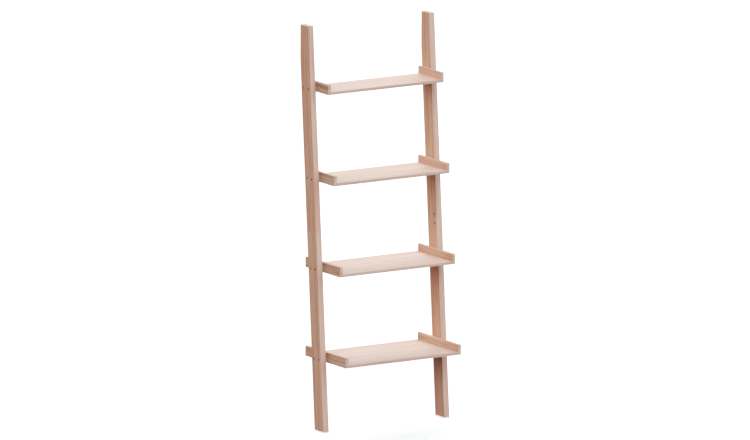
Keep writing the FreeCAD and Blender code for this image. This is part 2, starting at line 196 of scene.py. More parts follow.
class Bench:
    """The node tree of a material or a world, with the one method that adds nodes to it."""

    def __init__(self, owner: Union[bpy.types.Material, bpy.types.World]) -> None:
        """Clears the owner's nodes.

        Args:
            owner: the material or world that the nodes belong to.
        """
        self.owner = owner
        self.owner.use_nodes = True
        self.tree = self.owner.node_tree
        self.tree.nodes.clear()

    def node(self, kind: str, settings: dict, inputs: dict, output: Union[int, str] = 0) -> Wire:
        """Adds one node of any type.

        Args:
            kind: the node's type.
            settings: its properties, set before its sockets.
            inputs: values or wires for its sockets, by name or number.
            output: the socket to hand back.

        Returns:
            The chosen output.
        """
        made = self.tree.nodes.new(kind)
        for key, value in settings.items():
            setattr(made, key, value)
        for key, value in inputs.items():
            socket = made.inputs[key]
            if isinstance(value, Wire):
                self.tree.links.new(value.socket, socket)
            else:
                socket.default_value = value
        return Wire(self, made.outputs[output])

    def vector(self, x: Term, y: Term, z: Term) -> Wire:
        """Three values as one vector."""
        return self.node("ShaderNodeCombineXYZ", {}, {0: x, 1: y, 2: z})

    def parts(self, vector: Wire) -> tuple[Wire, Wire, Wire]:
        """Takes a vector apart.

        Args:
            vector: the vector.

        Returns:
            Its X, Y and Z.
        """
        x = self.node("ShaderNodeSeparateXYZ", {}, {0: vector})
        _, y, z = x.socket.node.outputs
        return x, Wire(self, y), Wire(self, z)

    def noise(self, place: Wire, detail: float, roughness: float = 0.55) -> Wire:
        """Fractal noise from 0 to 1.

        Args:
            place: coordinates, already scaled to one feature per unit.
            detail: the number of finer layers.
            roughness: how strong each finer layer is.

        Returns:
            The noise's value.
        """
        inputs = {"Vector": place, "Scale": 1.0, "Detail": detail, "Roughness": roughness}
        return self.node("ShaderNodeTexNoise", {"noise_dimensions": "3D"}, inputs, "Fac")

    def drawn_out(self, log: tuple[Wire, Wire, Wire], figure: "Figure") -> Wire:
        """Noise drawn out along the grain.

        Args:
            log: the coordinates along, across and through the wood.
            figure: how many features there are each way, and how fine they are.

        Returns:
            The noise, from 0 to 1.
        """
        x, y, z = log
        place = self.vector(x * figure.along, y * figure.across, z * figure.across)
        return self.noise(place, figure.detail, figure.roughness)

    def bumps(self, height: Wire, strength: float, relief: float) -> Wire:
        """Turns a height into a bumpy normal.

        Args:
            height: the height, about 0 to 1.
            strength: how strongly it shows.
            relief: the depth of a height of 1, in metres.

        Returns:
            The normal.
        """
        inputs = {"Strength": strength, "Distance": relief, "Height": height}
        return self.node("ShaderNodeBump", {}, inputs)

    def mix(self, start: Union[Wire, Colour], end: Union[Wire, Colour], share: Term) -> Wire:
        """Blends two colours.

        Args:
            start: the colour at a share of 0.
            end: the colour at a share of 1.
            share: how much of the end colour there is.

        Returns:
            The blended colour.
        """
        # inputs 6 and 7 are the two colours, and output 2 is their blend
        first, second = (c if isinstance(c, Wire) else (*c, 1.0) for c in (start, end))
        return self.node("ShaderNodeMix", {"data_type": "RGBA"}, {0: share, 6: first, 7: second}, 2)

    def surface(self, settings: dict) -> bpy.types.Material:
        """Ends the material in a Principled shader.

        Args:
            settings: values or wires for the shader's sockets.

        Returns:
            The finished material.
        """
        shader = self.node("ShaderNodeBsdfPrincipled", {}, settings)
        self.end(shader, "ShaderNodeOutputMaterial")
        return self.owner

    def end(self, shader: Wire, kind: str) -> None:
        """Adds an output node and joins a shader to it.

        Args:
            shader: the shader's output.
            kind: the output node's type.
        """
        made = self.tree.nodes.new(kind)
        self.tree.links.new(shader.socket, made.inputs["Surface"])


# ------------------------------------------------------------------ finishes


@dataclass(frozen=True)
class Figure:
    """One scale of figure in wood: its features in a metre of length and square to it."""

    along: float
    across: float
    detail: float
    roughness: float = 0.62


@dataclass(frozen=True)
class BoardSpace:
    """Where a board lies: its middle, its grain and width directions, and its size."""

    centre: Vector
    grain: Vector
    wide: Vector
    size: Vector

    @classmethod
    def of_box(cls, low: Vector, high: Vector, grain: Vector, wide: Vector) -> "BoardSpace":
        """The space of a board that lies square to the axes.

        Args:
            low: the board's lowest corner.
            high: its highest corner.
            grain: the direction of its length.
            wide: the direction of its width.

        Returns:
            The board's space.
        """
        span = high - low
        thick = grain.cross(wide)
        size = Vector((abs(span.dot(axis)) for axis in (grain, wide, thick)))
        return cls((low + high) / 2, grain, wide, size)

    def place(self, bench: Bench) -> Wire:
        """Coordinates from the board's middle, with X along its grain and Y across its width.

        Args:
            bench: the material that reads them.

        Returns:
            The coordinates, in metres.
        """
        turn = Matrix((self.grain, self.wide, self.grain.cross(self.wide)))
        shift = -(turn @ self.centre)
        source = bench.node("ShaderNodeTexCoord", {}, {}, "Object")
        inputs = {"Vector": source, "Location": shift, "Rotation": turn.to_euler()}
        return bench.node("ShaderNodeMapping", {"vector_type": "POINT"}, inputs)


@dataclass(frozen=True)
class Timber:
    """Planed and sanded pale wood, as a solid of growth rings that every face cuts through."""

    early: Colour = (0.655, 0.408, 0.302)
    late: Colour = (0.440, 0.222, 0.145)
    rosy: Colour = (0.618, 0.308, 0.222)
    straw: Colour = (0.640, 0.428, 0.300)
    pore: Colour = (0.300, 0.150, 0.095)
    end_grain: Colour = (0.560, 0.325, 0.235)
    # the colour of the paler eased edges: partly rubbed wear, partly a painted highlight
    wear_highlight: Colour = (0.740, 0.520, 0.420)

    log_ends: Limits = (2.0, 40.0)
    log_sides: Limits = (0.2, 3.0)
    pith_near: float = 0.045
    pith_far: float = 0.120
    ring_width: float = 0.0042
    ring_drift: float = 0.0140
    ring_bend: Figure = Figure(1.3, 5.0, 2.0, 0.55)
    ring_sway: Figure = Figure(2.1, 4.0, 2.0, 0.55)
    ring_sway_start: float = 2.25
    ring_wavers_per_metre: float = 60.0
    ring_waver: float = 3.0
    ring_darkens: Limits = (0.35, 0.90)
    ring_ends: Limits = (0.93, 1.00)

    streaks: Figure = Figure(1.5, 78.0, 4.0)
    streak_limits: Limits = (0.38, 0.64)
    streak_middle: float = 0.45
    bands: Figure = Figure(0.9, 40.0, 2.0)
    band_limits: Limits = (0.45, 0.62)
    clouds: Figure = Figure(3.2, 24.0, 3.0)
    cloud_limits: Limits = (0.47, 0.64)
    fibres: Figure = Figure(22.0, 1300.0, 3.0)
    pores_along: float = 120.0
    pores_across: float = 1100.0
    pore_limits: Limits = (0.16, 0.34)
    facing_limits: Limits = (0.55, 0.95)

    ring_strength: float = 0.60
    streak_strength: float = 0.85
    fibre_strength: float = 0.30
    chance_strength: float = 0.14
    late_start: float = 0.12
    rosy_strength: float = 0.75
    straw_strength: float = 0.60
    pore_strength: float = 0.40
    rim_shade: float = 0.0
    end_strength: float = 0.20
    end_ring_strength: float = 0.45

    # the paler eased edges: partly rubbed wear, partly a painted highlight where the rounded edges
    # would catch light
    wear_highlight_reach: float = 0.0034
    wear_highlight_strength: float = 0.50
    wear_highlight_start: float = 0.235
    wear_highlight_fibre: float = 0.90

    stave_width: float = 0.0
    stave_start: float = 40.0
    stave_step: float = 0.173
    stave_depth: float = 0.9

    relief: float = 0.00012
    relief_strength: float = 0.55
    gloss: float = 0.30
    roughness: float = 0.62

    def dress(self, board: BoardSpace, name: str, seed: int) -> bpy.types.Material:
        """Makes one board's wood, with its own cut out of the log.

        Args:
            board: where the board lies.
            name: the material's name.
            seed: the number that sets the board's place in the log.

        Returns:
            The board's material.
        """
        rng = random.Random(seed)
        bench = Bench(bpy.data.materials.new(name))
        place = bench.parts(board.place(bench))
        x, y, z = place
        cut_x = x + rng.uniform(*self.log_ends)
        cut_y, cut_z, chance = self._stave(bench, y, z, rng)
        log = (cut_x, cut_y, cut_z)
        ring = self._rings(bench, log, rng)
        streak, band, cloud, fibre = (
            bench.drawn_out(log, figure)
            for figure in (self.streaks, self.bands, self.clouds, self.fibres))
        pores = self._pores(bench, log)
        end = self._facing(bench, board.grain)
        rim = self._facing(bench, board.wide)
        edge = self._edge_wear_highlight(board, place) * (self.wear_highlight_start + self.wear_highlight_fibre * fibre)

        rosy = band.rise(*self.band_limits) * self.rosy_strength
        straw = cloud.rise(*self.cloud_limits) * self.straw_strength
        tone = bench.mix(self.early, self.late, self._late_share(ring, streak, fibre, chance))
        tone = bench.mix(tone, self.rosy, rosy)
        tone = bench.mix(tone, self.straw, straw)
        tone = bench.mix(tone, self.pore, pores * self.pore_strength)
        tone = bench.mix(tone, self.late, rim * self.rim_shade)
        tone = bench.mix(tone, self.end_grain,
                         end * (self.end_strength + self.end_ring_strength * ring))
        # paler eased edges: partly rubbed wear, partly a painted highlight
        tone = bench.mix(tone, self.wear_highlight, edge * self.wear_highlight_strength * (1 - end))

        height = 0.30 * fibre + 0.35 * streak - 0.22 * ring - 0.80 * pores
        dull = 0.08 * ring + 0.12 * (fibre - 0.5) + 0.12 * end - 0.08 * edge
        return bench.surface({
            "Base Color": tone,
            "Roughness": self.roughness + dull,
            "Normal": bench.bumps(height, self.relief_strength, self.relief),
            "Specular IOR Level": self.gloss,
        })

    def _stave(self, bench: Bench, y: Wire, z: Wire, rng: random.Random) -> tuple[Wire, Wire, Term]:
        """Moves each stave of a glued-up board to a place of its own in the log.

        Args:
            bench: the board's material.
            y: the coordinate across the board.
            z: the coordinate through it.
            rng: the board's own chance.

        Returns:
            The moved coordinates across and through, and a share from 0 to 1 for the stave.
        """
        start_y, start_z = rng.uniform(*self.log_sides), rng.uniform(*self.log_sides)
        if not self.stave_width:
            return y + start_y, z + start_z, rng.random()
        index = (y / self.stave_width + self.stave_start).floor()
        settings = {"noise_dimensions": "1D"}
        chance = bench.node("ShaderNodeTexWhiteNoise", settings, {"W": index + start_y}, "Value")
        moved_y = y + start_y + index * self.stave_step
        return moved_y, z + start_z + chance * self.stave_depth, chance

    def _rings(self, bench: Bench, log: tuple[Wire, Wire, Wire], rng: random.Random) -> Wire:
        """Growth rings about a pith line beside the board.

        Args:
            bench: the board's material.
            log: the coordinates along, across and through the log.
            rng: the board's own chance.

        Returns:
            0 in the spring wood, rising to 1 in the summer wood at each ring's end.
        """
        x, y, z = log
        bend = bench.drawn_out(log, self.ring_bend) - 0.5
        sway = bench.drawn_out((x, y, z + self.ring_sway_start), self.ring_sway) - 0.5
        angle = rng.uniform(0.0, math.tau)
        reach = rng.uniform(self.pith_near, self.pith_far)
        tile = 4.0 * self.pith_far
        local_y = ((y / tile).fraction() - 0.5) * tile
        local_z = ((z / tile).fraction() - 0.5) * tile
        off_y = local_y + bend * self.ring_drift + reach * math.cos(angle)
        off_z = local_z + sway * self.ring_drift + reach * math.sin(angle)
        radius = (off_y * off_y + off_z * off_z).root()
        waver_place = bench.vector(radius * self.ring_wavers_per_metre, x * 0.4, 3.7)
        waver = bench.noise(waver_place, 2.0) * self.ring_waver
        phase = (radius / self.ring_width + waver).fraction()
        return phase.rise(*self.ring_darkens) * (1 - phase.rise(*self.ring_ends))

    def _late_share(self, ring: Wire, streak: Wire, fibre: Wire, chance: Term) -> Wire:
        """How much of the darker summer wood shows.

        Args:
            ring: the growth ring's share.
            streak: the long streaks' noise.
            fibre: the fine fibres' noise.
            chance: the board's or the stave's own share.

        Returns:
            The share of the late colour.
        """
        rings = ring * (self.ring_strength * (0.35 + streak))
        streaks = (streak.rise(*self.streak_limits) - self.streak_middle) * self.streak_strength
        fibres = (fibre - 0.5) * self.fibre_strength
        chances = (chance - 0.5) * self.chance_strength
        share = rings + streaks + fibres + chances + self.late_start
        return share.largest(0.0).smallest(1.0)

    def _pores(self, bench: Bench, log: tuple[Wire, Wire, Wire]) -> Wire:
        """Short dark dashes along the grain.

        Args:
            bench: the board's material.
            log: the coordinates along, across and through the log.

        Returns:
            1 in a pore and 0 between them.
        """
        x, y, z = log
        place = bench.vector(x * self.pores_along, y * self.pores_across, z * self.pores_across)
        inputs = {"Vector": place, "Scale": 1.0, "Randomness": 1.0}
        settings = {"voronoi_dimensions": "3D", "feature": "F1"}
        near = bench.node("ShaderNodeTexVoronoi", settings, inputs, "Distance")
        return 1 - near.rise(*self.pore_limits)

    def _facing(self, bench: Bench, axis: Vector) -> Wire:
        """Tells faces cut square across an axis from faces that run along it.

        Args:
            bench: the board's material.
            axis: the direction of the axis.

        Returns:
            1 on a face that is cut square across the axis, and 0 on one that runs along it.
        """
        normal = bench.node("ShaderNodeNewGeometry", {}, {}, "True Normal")
        settings = {"operation": "DOT_PRODUCT"}
        facing = bench.node("ShaderNodeVectorMath", settings, {0: normal, 1: axis}, "Value")
        return abs(facing).rise(*self.facing_limits)

    def _edge_wear_highlight(self, board: BoardSpace, place: tuple[Wire, Wire, Wire]) -> Wire:
        """Where the eased edges are drawn paler: partly rubbed wear, partly a painted highlight.

        Args:
            board: where the board lies.
            place: the coordinates along, across and through the board, from its middle.

        Returns:
            1 on the edges, falling to 0 a few millimetres in.
        """
        along, across, through = (half - abs(at) for half, at in zip(board.size / 2, place))
        corner = along.largest(across).smallest(along.largest(through))
        corner = corner.smallest(across.largest(through))
        return 1 - corner.rise(0.0, self.wear_highlight_reach)


@dataclass(frozen=True)
class TurnedWood:
    """Turned beech of the dowels, with its small flecks."""

    pale: Colour = (0.720, 0.520, 0.340)
    fleck: Colour = (0.520, 0.330, 0.190)
    flecks: Figure = Figure(160.0, 900.0, 3.0, 0.65)
    fleck_limits: Limits = (0.52, 0.72)
    fleck_strength: float = 0.60
    bands: Figure = Figure(4.0, 160.0, 2.0, 0.55)
    band_strength: float = 0.25
    relief: float = 0.0001
    relief_strength: float = 0.50
    roughness: float = 0.55

    def dress(self, name: str, grain: Vector) -> bpy.types.Material:
        """Makes the dowels' wood.

        Args:
            name: the material's name.
            grain: the direction of the dowels' length.

        Returns:
            The material.
        """
        bench = Bench(bpy.data.materials.new(name))
        space = BoardSpace(Vector(), grain, grain.orthogonal().normalized(), Vector((1, 1, 1)))
        log = bench.parts(space.place(bench))
        fleck, band = (bench.drawn_out(log, figure) for figure in (self.flecks, self.bands))
        share = fleck.rise(*self.fleck_limits) * self.fleck_strength + band * self.band_strength
        return bench.surface({
            "Base Color": bench.mix(self.pale, self.fleck, share),
            "Roughness": self.roughness + 0.2 * (fleck - 0.5),
            "Normal": bench.bumps(fleck, self.relief_strength, self.relief),
        })


@dataclass(frozen=True)
class Metal:
    """Plated, cast or turned metal with fine marks and a duller film here and there."""

    bright: Colour
    film: Colour
    roughness: float
    marks_per_metre: float = 1400.0
    mark_stretch: float = 0.35
    mark_strength: float = 0.20
    films_per_metre: float = 210.0
    film_limits: Limits = (0.42, 0.68)
    film_strength: float = 0.70
    relief: float = 0.00003
    relief_strength: float = 0.40

    def dress(self, name: str) -> bpy.types.Material:
        """Makes the metal.

        Args:
            name: the material's name.

        Returns:
            The material.
        """
        bench = Bench(bpy.data.materials.new(name))
        x, y, z = bench.parts(bench.node("ShaderNodeTexCoord", {}, {}, "Object"))
        fine, wide = self.marks_per_metre, self.films_per_metre
        mark_place = bench.vector(x * fine, y * (fine * self.mark_stretch), z * fine)
        marks = bench.noise(mark_place, 3.0, 0.7)
        film_noise = bench.noise(bench.vector(x * wide, y * wide, z * wide), 3.0)
        film = film_noise.rise(*self.film_limits)
        share = film * self.film_strength + marks * self.mark_strength
        return bench.surface({
            "Base Color": bench.mix(self.bright, self.film, share),
            "Metallic": 1.0,
            "Roughness": self.roughness + 0.16 * film + 0.12 * (marks - 0.5),
            "Normal": bench.bumps(marks, self.relief_strength, self.relief),
        })


RAIL_TIMBER = Timber(pith_near=0.060, pith_far=0.140)
SIDE_TIMBER = Timber(early=(0.655, 0.418, 0.322), straw=(0.640, 0.435, 0.322), pith_near=0.030,
                     pith_far=0.070, ring_strength=0.72, streak_strength=0.70,
                     rosy_strength=0.52, straw_strength=0.42, wear_highlight_strength=0.10, rim_shade=0.38)
PANEL_TIMBER = Timber(early=(0.622, 0.402, 0.308), rosy=(0.596, 0.308, 0.228),
                      straw=(0.612, 0.420, 0.304), stave_width=0.048, ring_strength=0.44,
                      streak_strength=0.55, rosy_strength=0.50, wear_highlight_strength=0.08,
                      rim_shade=0.14)
BEECH = TurnedWood()
BOLT_STEEL = Metal((0.285, 0.168, 0.100), (0.150, 0.084, 0.050), 0.36)
INSERT_BRASS = Metal((0.72, 0.55, 0.27), (0.50, 0.37, 0.18), 0.30)
CAM_ZINC = Metal((0.300, 0.180, 0.110), (0.180, 0.105, 0.065), 0.46, 900.0)
BRACKET_ZINC = Metal((0.36, 0.37, 0.38), (0.25, 0.26, 0.28), 0.34)
SCREW_STEEL = Metal((0.34, 0.34, 0.34), (0.22, 0.22, 0.23), 0.30)

# what fasteners on both sides share is made once
FINISH = {
    "dowel_beech": BEECH.dress("dowel_beech", ALONG_X),
    "rail_dowel_beech": BEECH.dress("rail_dowel_beech", ALONG_Z),
    "bolt_steel": BOLT_STEEL.dress("bolt_steel"),
    "insert_brass": INSERT_BRASS.dress("insert_brass"),
    "cam_zinc": CAM_ZINC.dress("cam_zinc"),
    "bracket_zinc": BRACKET_ZINC.dress("bracket_zinc"),
    "screw_steel": SCREW_STEEL.dress("screw_steel"),
}


# ------------------------------------------------------------------ bench work


def lathe(bm: bmesh.types.BMesh, profile: Outline, start: Vector, axis: Vector, steps: int,
          ring: bool = False) -> None:
    """Turns a solid of revolution.

    Args:
        bm: the mesh that gets it.
        profile: pairs of distance along the axis and radius.
        start: the point that distances count from.
        axis: the direction of the axis.
        steps: the number of facets round it.
        ring: whether the profile closes on itself, clear of the axis.
    """
    square = axis.orthogonal().normalized()
    verts = [bm.verts.new(start + axis * along + square * radius) for along, radius in profile]
    pairs = list(zip(verts, verts[1:])) + ([(verts[-1], verts[0])] if ring else [])
    edges = [bm.edges.new(pair) for pair in pairs]
    old = set(bm.faces)
    bmesh.ops.spin(bm, geom=verts + edges, cent=start, axis=axis, angle=math.tau, steps=steps,
                   use_merge=True)
    turned = dict.fromkeys(v for f in bm.faces if f not in old for v in f.verts)
    bmesh.ops.remove_doubles(bm, verts=list(turned), dist=WELD_REACH)
    bmesh.ops.recalc_face_normals(bm, faces=[f for f in bm.faces if f not in old])


def block(bm: bmesh.types.BMesh, low: Vector, high: Vector) -> None:
    """Adds a square block.

    Args:
        bm: the mesh that gets it.
        low: its lowest corner.
        high: its highest corner.
    """
    span = high - low
    place = Matrix.Translation((low + high) / 2) @ Matrix.Diagonal((*span, 1.0))
    bmesh.ops.create_cube(bm, size=1.0, matrix=place)


@dataclass
class Workpiece:
    """A mesh on the bench, and what is to be bored or cut out of it."""

    name: str
    bm: bmesh.types.BMesh = field(default_factory=bmesh.new)
    cutters: list[bmesh.types.BMesh] = field(default_factory=list)

    def cutter(self, layer: int = 0) -> bmesh.types.BMesh:
        """Finds the mesh that holds one layer of cutters.

        Args:
            layer: the layer's number; cutters that cross need two layers.

        Returns:
            The layer's mesh.
        """
        while len(self.cutters) <= layer:
            self.cutters.append(bmesh.new())
        return self.cutters[layer]

    def bore(self, start: Vector, end: Vector, radius: float, layer: int = 0) -> None:
        """Bores a round hole.

        Args:
            start: one end of the hole's axis.
            end: the other end.
            radius: the hole's radius.
            layer: the layer of cutters that it joins.
        """
        depth = (end - start).length
        profile = ((0.0, 0.0), (0.0, radius), (depth, radius), (depth, 0.0))
        lathe(self.cutter(layer), profile, start, (end - start).normalized(), BORE_FACETS)

    def trim(self, point: Vector, outward: Vector) -> None:
        """Saws off what lies past a plane and closes the cut.

        Args:
            point: a point in the plane.
            outward: the plane's normal, on the side that goes.
        """
        geometry = self.bm.verts[:] + self.bm.edges[:] + self.bm.faces[:]
        sawn = bmesh.ops.bisect_plane(self.bm, geom=geometry, plane_co=point, plane_no=outward,
                                      clear_outer=True, dist=SAW_REACH)
        rim = [e for e in sawn["geom_cut"] if isinstance(e, bmesh.types.BMEdge)]
        bmesh.ops.contextual_create(self.bm, geom=rim)
        bmesh.ops.recalc_face_normals(self.bm, faces=self.bm.faces[:])

    def ease(self, radius: float, skip: Callable[[bmesh.types.BMEdge], bool]) -> None:
        """Rounds edges over.

        Args:
            radius: the rounding's radius.
            skip: says which edges stay sharp.
        """
        least = math.radians(EASED_ANGLE)
        edges = [e for e in self.bm.edges if e.calc_face_angle(0.0) > least and not skip(e)]
        bmesh.ops.bevel(self.bm, geom=edges, offset=radius, offset_type="OFFSET",
                        segments=EASED_STEPS, profile=0.5, affect="EDGES", material=-1,
                        clamp_overlap=True)

    def piece(self, node: str, slot: str, material: bpy.types.Material) -> bpy.types.Object:
        """Takes the work off the bench as a finished piece that stands for a node.

        Args:
            node: the frame's node that the piece stands for.
            slot: not used.
            material: the piece's finish.

        Returns:
            The finished object.
        """
        mesh = bpy.data.meshes.new(self.name)
        self.bm.to_mesh(mesh)
        self.bm.free()
        made = bpy.data.objects.new(self.name, mesh)
        bpy.context.scene.collection.objects.link(made)
        self._cut(made)
        made.data.shade_smooth()
        made.data.set_sharp_from_angle(angle=math.radians(SHARP_ANGLE))
        weighted = made.modifiers.new("flat faces", "WEIGHTED_NORMAL")
        weighted.keep_sharp = True
        apply_modifiers(made)
        made.data.materials.clear()
        made.data.materials.append(material)
        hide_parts(node)
        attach(made, ROOT)
        LOG.info("%s: %d faces, for %s", made.name, len(made.data.polygons), node)
        return made

    def _cut(self, made: bpy.types.Object) -> None:
        """Takes every layer of cutters out of an object.

        Args:
            made: the object, whose mesh is the uncut work.
        """
        tools = []
        for number, cutter in enumerate(self.cutters):
            mesh = bpy.data.meshes.new("cutter")
            cutter.to_mesh(mesh)
            cutter.free()
            tool = bpy.data.objects.new("cutter", mesh)
            bpy.context.scene.collection.objects.link(tool)
            tools.append(tool)
            cut = made.modifiers.new("cut %d" % number, "BOOLEAN")
            cut.operation = "DIFFERENCE"
            cut.solver = "EXACT"
            cut.object = tool
        if tools:
            apply_modifiers(made)
        for tool in tools:
            mesh = tool.data
            bpy.data.objects.remove(tool)
            bpy.data.meshes.remove(mesh)


def apply_modifiers(made: bpy.types.Object) -> None:
    """Makes an object's modifiers part of its mesh.

    Args:
        made: the object.
    """
    graph = bpy.context.evaluated_depsgraph_get()
    old = made.data
    finished = bpy.data.meshes.new_from_object(made.evaluated_get(graph), depsgraph=graph)
    made.modifiers.clear()
    made.data = finished
    finished.name = made.name
    bpy.data.meshes.remove(old)


def keep_node(node: str, material: bpy.types.Material) -> None:
    """Gives a node that keeps its own shape its finish.

    Args:
        node: the frame's node.
        material: the finish.
    """
    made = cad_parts[node]
    made.data.materials.clear()
    made.data.materials.append(material)
    LOG.info("%s: kept, with a new finish", node)


# ------------------------------------------------------------------ fasteners


@dataclass
class TrayFastening:
    """The two bolts and insert nuts that hold one end of a tray to its rail."""

    tray: str
    side: Side
    shank_radius: float = 0.0030
    thread_root: float = 0.0026
    thread_pitch: float = 0.0010
    thread_length: float = 0.0140
    head_rim: float = 0.0004
    head_edge: float = 0.00012
    socket_width: float = 0.0040
    socket_depth: float = 0.0026
    tip_chamfer: float = 0.0008
    insert_edge: float = 0.0003
    insert_nose: float = 0.0001
    insert_land: float = 0.0010
    insert_groove: float = 0.0005
    insert_ribs: int = 5
    rib_foot: float = 0.2
    rib_crest: float = 0.9
    insert_thread: float = 0.0004
    hole_clearance: float = 0.0003
    seat_clearance: float = 0.00005
    thread_clearance: float = 0.00005
    glue_gap: float = 0.00005
    end_gap: float = 0.0005

    @property
    def stem(self) -> str:
        """The start of this end's node names."""
        return f"{self.tray}_shelf_{self.side.word}"

    def __post_init__(self) -> None:
        """Reads the bolts' and the inserts' places from the frame."""
        self.bolt_low, self.bolt_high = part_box(f"{self.stem}_bolts")
        self.nut_low, self.nut_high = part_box(f"{self.stem}_insert_nuts")
        self.head_radius = (self.bolt_high.z - self.bolt_low.z) / 2
        self.bolt_length = self.bolt_high.x - self.bolt_low.x
        self.nut_radius = (self.nut_high.z - self.nut_low.z) / 2
        self.nut_length = self.nut_high.x - self.nut_low.x
        self.inward = Vector((-self.side.value, 0.0, 0.0))

    def axes(self) -> list[Vector]:
        """A point on each bolt's axis, at X = 0, the front bolt first."""
        z = (self.bolt_low.z + self.bolt_high.z) / 2
        front = self.bolt_low.y + self.head_radius
        rear = self.bolt_high.y - self.head_radius
        return [Vector((0.0, y, z)) for y in (front, rear)]

    def _outer(self, low: Vector, high: Vector) -> float:
        """Finds the side of a box that faces away from the shelf.

        Args:
            low: the box's lowest corner.
            high: its highest corner.

        Returns:
            That side's X.
        """
        return low.x if self.side is Side.LEFT else high.x

    def bore_rail(self, work: Workpiece, face_x: float, thickness: float) -> None:
        """Cuts the countersunk clearance holes in a rail.

        Args:
            work: the rail on the bench.
            face_x: X of the rail's outer face.
            thickness: the rail's thickness.
        """
        seat = self.head_radius + self.seat_clearance
        shank = self.shank_radius + self.hole_clearance
        flat = abs(face_x - self._outer(self.bolt_low, self.bolt_high)) + self.head_rim
        past = thickness + OVERCUT
        profile = ((-OVERCUT, 0.0), (-OVERCUT, seat), (flat, seat), (flat + seat - shank, shank),
                   (past, shank), (past, 0.0))
        for axis in self.axes():
            start = Vector((face_x, axis.y, axis.z))
            lathe(work.cutter(), profile, start, self.inward, SEAT_FACETS)

    def bore_side(self, work: Workpiece) -> None:
        """Cuts the blind holes for the insert nuts in a side board.

        Args:
            work: the side board on the bench.
        """
        mouth = self._outer(self.nut_low, self.nut_high)
        for axis in self.axes():
            start = Vector((mouth, axis.y, axis.z)) - self.inward * OVERCUT
            end = start + self.inward * (OVERCUT + self.nut_length + self.end_gap)
            work.bore(start, end, self.nut_radius + self.glue_gap)

    def _bolt_profile(self) -> list[tuple[float, float]]:
        """Draws one bolt's outline.

        Returns:
            Pairs of distance and radius, from the head's face to the tip.
        """
        shank, head, edge = self.shank_radius, self.head_radius, self.head_edge
        outline = [(0.0, 0.0), (0.0, head - edge), (edge, head), (self.head_rim, head),
                   (self.head_rim + head - shank, shank)]
        start = self.bolt_length - self.thread_length
        for turn in range(int((self.thread_length - self.tip_chamfer) / self.thread_pitch)):
            crest = start + turn * self.thread_pitch
            outline.append((crest, shank))
            outline.append((crest + self.thread_pitch / 2, self.thread_root))
        tip = self.bolt_length - self.tip_chamfer
        outline += [(tip, shank), (self.bolt_length, shank - self.tip_chamfer),
                    (self.bolt_length, 0.0)]
        return outline

    def _nut_profile(self) -> list[tuple[float, float]]:
        """Draws the outline of one insert nut's wall, ribbed outside and threaded inside.

        Returns:
            Pairs of distance and radius, once round the wall.
        """
        outer, bore = self.nut_radius, self.shank_radius + self.thread_clearance
        length, edge = self.nut_length, self.insert_edge
        outline = [(0.0, bore + edge), (0.0, outer - edge), (edge, outer)]
        step = (length - 2 * self.insert_land) / self.insert_ribs
        for rib in range(self.insert_ribs):
            at = self.insert_land + rib * step
            outline.append((at, outer))
            outline.append((at + step * self.rib_foot, outer - self.insert_groove))
            outline.append((at + step * self.rib_crest, outer))
        outline += [(length - edge, outer - self.insert_nose), (length, outer - 2 * edge),
                    (length, bore + edge), (length - edge, bore)]
        turns = int((length - 2 * edge) / self.thread_pitch)
        for turn in range(turns, 0, -1):
            outline.append((edge + (turn - 0.5) * self.thread_pitch, bore + self.insert_thread))
            outline.append((edge + (turn - 1.0) * self.thread_pitch, bore))
        return outline

    def build(self) -> None:
        """Makes the bolts and the insert nuts."""
        bolts = Workpiece(f"{self.stem}_bolt_pair")
        nuts = Workpiece(f"{self.stem}_insert_pair")
        for axis in self.axes():
            head = Vector((self._outer(self.bolt_low, self.bolt_high), axis.y, axis.z))
            mouth = Vector((self._outer(self.nut_low, self.nut_high), axis.y, axis.z))
            lathe(bolts.bm, self._bolt_profile(), head, self.inward, TURNED_FACETS)
            lathe(nuts.bm, self._nut_profile(), mouth, self.inward, TURNED_FACETS, ring=True)
            self._socket(bolts.cutter(), head)
        bolts.piece(f"{self.stem}_bolts", "bolt_steel", FINISH["bolt_steel"])
        nuts.piece(f"{self.stem}_insert_nuts", "insert_brass", FINISH["insert_brass"])

    def _socket(self, cutter: bmesh.types.BMesh, head: Vector) -> None:
        """Adds one bolt's six-sided drive, with a drilled cone at its foot.

        Args:
            cutter: the cutters' mesh.
            head: the middle of the bolt head's face.
        """
        corner = self.socket_width / math.sqrt(3.0)
        foot = self.socket_depth + corner / 2
        profile = ((-OVERCUT, 0.0), (-OVERCUT, corner), (self.socket_depth, corner), (foot, 0.0))
        lathe(cutter, profile, head, self.inward, 6)


